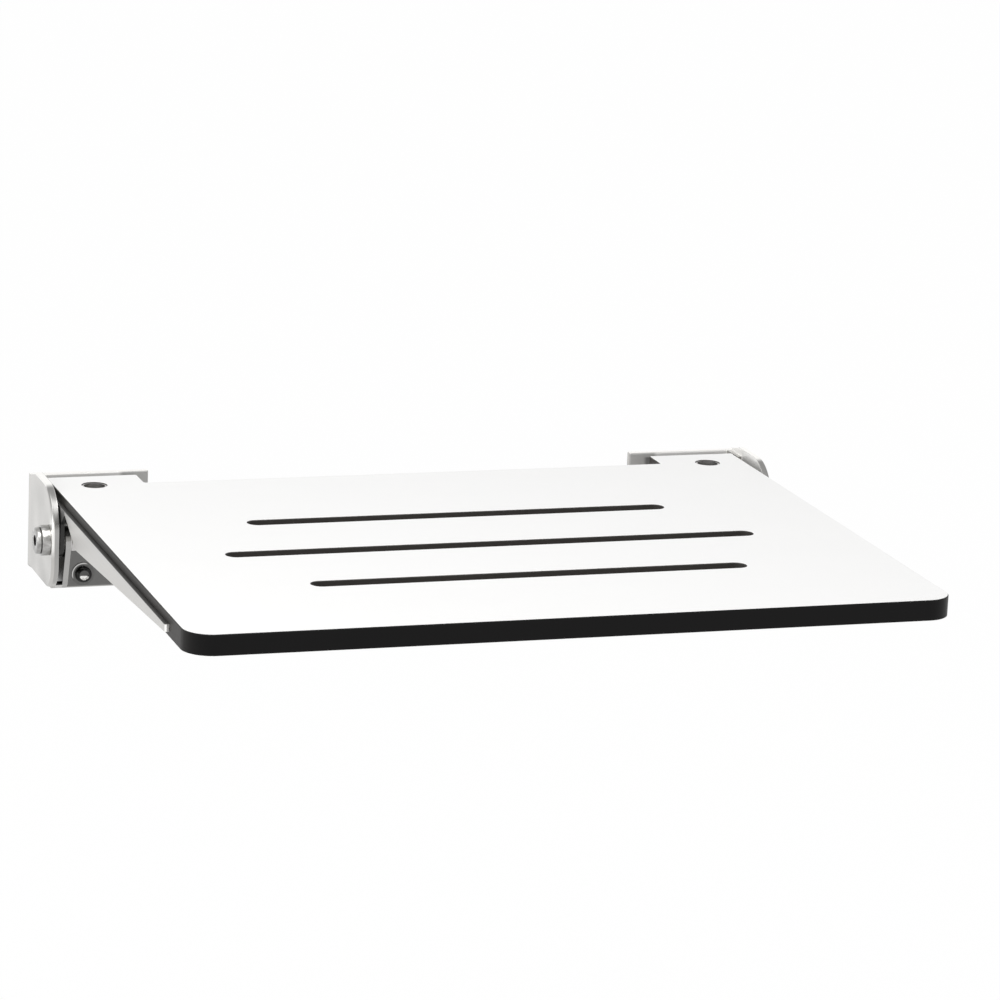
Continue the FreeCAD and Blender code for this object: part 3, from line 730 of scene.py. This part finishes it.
class BoardLook(bpy.types.PropertyGroup):
    """Sizes and colours of the laminate board."""

    skin: FloatProperty(
        name="Decor skin",
        description="Thickness of the white face on the black core",
        default=0.00014,
        unit="LENGTH",
    )
    white: FloatVectorProperty(
        name="Decor colour",
        description="Colour of the white faces",
        default=(0.888, 0.886, 0.880),
        subtype="COLOR",
    )
    core: FloatVectorProperty(
        name="Core colour",
        description="Colour of the black core that the edges show",
        default=(0.040, 0.037, 0.034),
        subtype="COLOR",
    )
    # Painted shade: the core colour for the side edges, darkened to stand in for their shade.
    shaded_flank_core: FloatVectorProperty(
        name="Side edge colour",
        description="Colour of the core along the two sides",
        default=(0.0085, 0.0078, 0.007),
        subtype="COLOR",
    )
    # Painted shade: the darkest core colour, for the front edge, standing in for the shade on the
    # edge that faces away from the lamps, not for polish.
    shaded_front_core: FloatVectorProperty(
        name="Front edge colour",
        description="Colour of the core along the front edge, which hands keep polished",
        default=(0.0012, 0.001, 0.0011),
        subtype="COLOR",
    )
    satin: FloatProperty(
        name="Face roughness",
        description="How matt the white faces are",
        default=0.34,
        subtype="FACTOR",
    )
    grain: FloatProperty(
        name="Face grain",
        description="Cells of the fine satin grain to the metre",
        default=2100.0,
    )


class SteelLook(bpy.types.PropertyGroup):
    """Colours and polish of the steel pieces."""

    bracket: FloatVectorProperty(
        name="Bracket colour",
        description="Colour of the polished brackets",
        default=(0.60, 0.59, 0.57),
        subtype="COLOR",
    )
    arm: FloatVectorProperty(
        name="Arm colour",
        description="Colour of the satin arms",
        default=(0.66, 0.65, 0.63),
        subtype="COLOR",
    )
    fastener: FloatVectorProperty(
        name="Fastener colour",
        description="Colour of screws, washers and nuts",
        default=(0.60, 0.59, 0.58),
        subtype="COLOR",
    )
    polish: FloatProperty(
        name="Bracket roughness",
        description="How matt the polished brackets are",
        default=0.17,
        subtype="FACTOR",
    )
    satin_steel: FloatProperty(
        name="Arm roughness",
        description="How matt the satin arms are",
        default=0.3,
        subtype="FACTOR",
    )


class StageLook(bpy.types.PropertyGroup):
    """Camera, lamps and floor."""

    camera_place: FloatVectorProperty(
        name="Camera place",
        description="Where the camera stands",
        default=(-0.7928, -2.555, 0.6828),
        subtype="TRANSLATION",
    )
    camera_turn: FloatVectorProperty(
        name="Camera turn",
        description="The camera's rotation about X, Y and Z",
        default=(1.326415, -0.041804, -0.316985),
        subtype="EULER",
    )
    lens: FloatProperty(
        name="Lens",
        description="Focal length of the camera in millimetres",
        default=153.34,
    )
    sensor: FloatProperty(
        name="Sensor",
        description="Width of the camera's sensor in millimetres",
        default=36.0,
    )
    floor_height: FloatProperty(
        name="Floor height",
        description="Height of the floor in the frame of the seat",
        default=-0.41,
        unit="LENGTH",
    )
    floor_size: FloatProperty(
        name="Floor size",
        description="Side of the square floor",
        default=40.0,
        unit="LENGTH",
    )
    floor_colour: FloatVectorProperty(
        name="Floor colour",
        description="Colour of the floor and of the room around it",
        default=(1.0, 1.0, 1.0),
        subtype="COLOR",
    )
    floor_glow: FloatProperty(
        name="Floor glow",
        description="How much of the seen floor is plain white instead of lit",
        default=0.985,
        subtype="FACTOR",
    )
    room: FloatProperty(
        name="Room light",
        description="Strength of the even light from all sides",
        default=0.55,
    )


def add_lamp(name, place, width, power):
    """A square soft lamp that faces the middle of the seat."""
    lamp = bpy.data.lights.new(name, "AREA")
    lamp.size = width
    lamp.energy = power
    holder = placed(name, lamp)
    holder.location = place
    facing = Vector(SEAT_MIDDLE) - Vector(place)
    holder.rotation_euler = facing.to_track_quat("-Z", "Y").to_euler()


class WALLSEAT_OT_board(bpy.types.Operator):
    """Finish the laminate board"""

    bl_idname = "wall_seat.board"
    bl_label = "Seat Board"

    def execute(self, context):
        dress(["seat_panel"], laminate_finish(context.scene.wall_seat_board))
        return {"FINISHED"}


class WALLSEAT_OT_brackets(bpy.types.Operator):
    """Finish the two polished wall brackets"""

    bl_idname = "wall_seat.brackets"
    bl_label = "Wall Brackets"

    def execute(self, context):
        dress(both_sides("wall_bracket"), polished_finish(context.scene.wall_seat_steel))
        return {"FINISHED"}


class WALLSEAT_OT_arms(bpy.types.Operator):
    """Finish the two satin arms"""

    bl_idname = "wall_seat.arms"
    bl_label = "Seat Arms"

    def execute(self, context):
        dress(both_sides("seat_arm"), satin_finish(context.scene.wall_seat_steel))
        return {"FINISHED"}


class WALLSEAT_OT_fixings(bpy.types.Operator):
    """Finish the bolts, bushes, washers, nuts and screws"""

    bl_idname = "wall_seat.fixings"
    bl_label = "Fixings"

    def execute(self, context):
        look = context.scene.wall_seat_steel
        steel = fastener_finish(look)
        dress(both_sides("nut_washer"), steel)
        dress(both_sides("tab_sleeve"), steel)
        dress(["wall_washers"], washer_finish(look))
        self.turn_wall_screws(steel, wall_screw_finish(look))
        self.turn_pivots(steel, pivot_finish())
        self.turn_arm_screws(steel)
        nylon = nylon_finish()
        dress(both_sides("pivot_bush"), nylon)
        dress(both_sides("outer_thrust_washer"), nylon)
        dress(both_sides("inner_thrust_washer"), nylon)
        dress(both_sides("panel_inserts"), brass_finish())
        return {"FINISHED"}

    def turn_wall_screws(self, steel, darkened):
        toward_front = (0.0, -1.0, 0.0)
        face = -PLATE_THICK - WASHER_THICK
        low = [(side * SCREW_HALF, face, -SCREW_UP) for side in SIDES.values()]
        made = joined("lower_wall_screws", wall_screw(), low, toward_front)
        stand_for(made, "wall_screws_lower", "wall_side", darkened)
        high = [(side * SCREW_HALF, -PLATE_THICK, SCREW_UP) for side in SIDES.values()]
        made = joined("upper_wall_screws", sunk_wall_screw(), high, toward_front)
        stand_for(made, "wall_screws_upper", "wall_side", steel)

    def turn_pivots(self, steel, polished):
        for word, side in SIDES.items():
            head = (side * EAR_OUTER, *PIVOT)
            made = joined("shoulder_bolt_" + word, pivot_bolt(), [head], (side, 0.0, 0.0))
            stand_for(made, "pivot_bolt_" + word, "wall_side", polished)
            start = (side * NUT_START, *PIVOT)
            made = joined("collar_nut_" + word, lock_nut(), [start], (-side, 0.0, 0.0))
            stand_for(made, "lock_nut_" + word, "wall_side", steel)

    def turn_arm_screws(self, steel):
        for word, side in SIDES.items():
            places = [(side * ARM_SCREW_SIDE, out, FLANGE_UNDER) for out in ARM_SCREW_ROWS]
            made = joined("button_screws_" + word, arm_screw(), places, (0.0, 0.0, -1.0))
            stand_for(made, "arm_screws_" + word, "seat", steel)


class WALLSEAT_OT_stage(bpy.types.Operator):
    """Set up the floor, the soft light and the camera"""

    bl_idname = "wall_seat.stage"
    bl_label = "Stage"

    def execute(self, context):
        look = context.scene.wall_seat_stage
        self.lay_floor(look)
        self.light_room(look)
        for lamp in LAMPS:
            add_lamp(*lamp)
        self.set_camera(look)
        context.scene.view_settings.view_transform = "Standard"
        return {"FINISHED"}

    def lay_floor(self, look):
        mesh = bpy.data.meshes.new("floor")
        shape = bmesh.new()
        bmesh.ops.create_grid(shape, x_segments=1, y_segments=1, size=look.floor_size / 2)
        bmesh.ops.translate(shape, verts=shape.verts, vec=(0.0, 0.0, look.floor_height))
        shape.to_mesh(mesh)
        shape.free()
        mesh.materials.append(floor_finish(look))
        placed("floor", mesh)

    def light_room(self, look):
        """Even light of one strength, and plain white where the camera or a mirror looks."""
        world = bpy.data.worlds.new("room")
        room = Finish(world)
        colour = rgba(look.floor_colour)
        lit = room.node("Background", feeds={"Color": colour, "Strength": look.room})
        white = room.node("Background", feeds={"Color": colour, "Strength": 1.0})
        mixed = room.node("MixShader", feeds={0: seen_straight(room), 1: lit, 2: white})
        room.node("OutputWorld", feeds={"Surface": mixed})
        bpy.context.scene.world = world

    def set_camera(self, look):
        lens = bpy.data.cameras.new("camera")
        lens.lens = look.lens
        lens.sensor_width = look.sensor
        camera = placed("camera", lens)
        camera.location = look.camera_place
        camera.rotation_euler = Euler(look.camera_turn, "XYZ")
        bpy.context.scene.camera = camera


OPERATORS = (
    WALLSEAT_OT_board,
    WALLSEAT_OT_brackets,
    WALLSEAT_OT_arms,
    WALLSEAT_OT_fixings,
    WALLSEAT_OT_stage,
)


class WALLSEAT_PT_panel(bpy.types.Panel):
    """Lists the pieces of the wall seat"""

    bl_idname = "WALLSEAT_PT_panel"
    bl_label = "Wall Seat"
    bl_space_type = "VIEW_3D"
    bl_region_type = "UI"
    bl_category = "Wall Seat"

    def draw(self, context):
        for operator in OPERATORS:
            self.layout.operator(operator.bl_idname)


GROUPS = {
    "wall_seat_board": BoardLook,
    "wall_seat_steel": SteelLook,
    "wall_seat_stage": StageLook,
}


def register():
    for name, group in GROUPS.items():
        bpy.utils.register_class(group)
        setattr(bpy.types.Scene, name, PointerProperty(type=group))
    for listed in (*OPERATORS, WALLSEAT_PT_panel):
        bpy.utils.register_class(listed)


def unregister():
    for listed in (*OPERATORS, WALLSEAT_PT_panel):
        bpy.utils.unregister_class(listed)
    for name, group in GROUPS.items():
        delattr(bpy.types.Scene, name)
        bpy.utils.unregister_class(group)


def main():
    register()
    for operator in OPERATORS:
        family, piece = operator.bl_idname.split(".")
        getattr(getattr(bpy.ops, family), piece)()


if __name__ == "__main__":
    main()
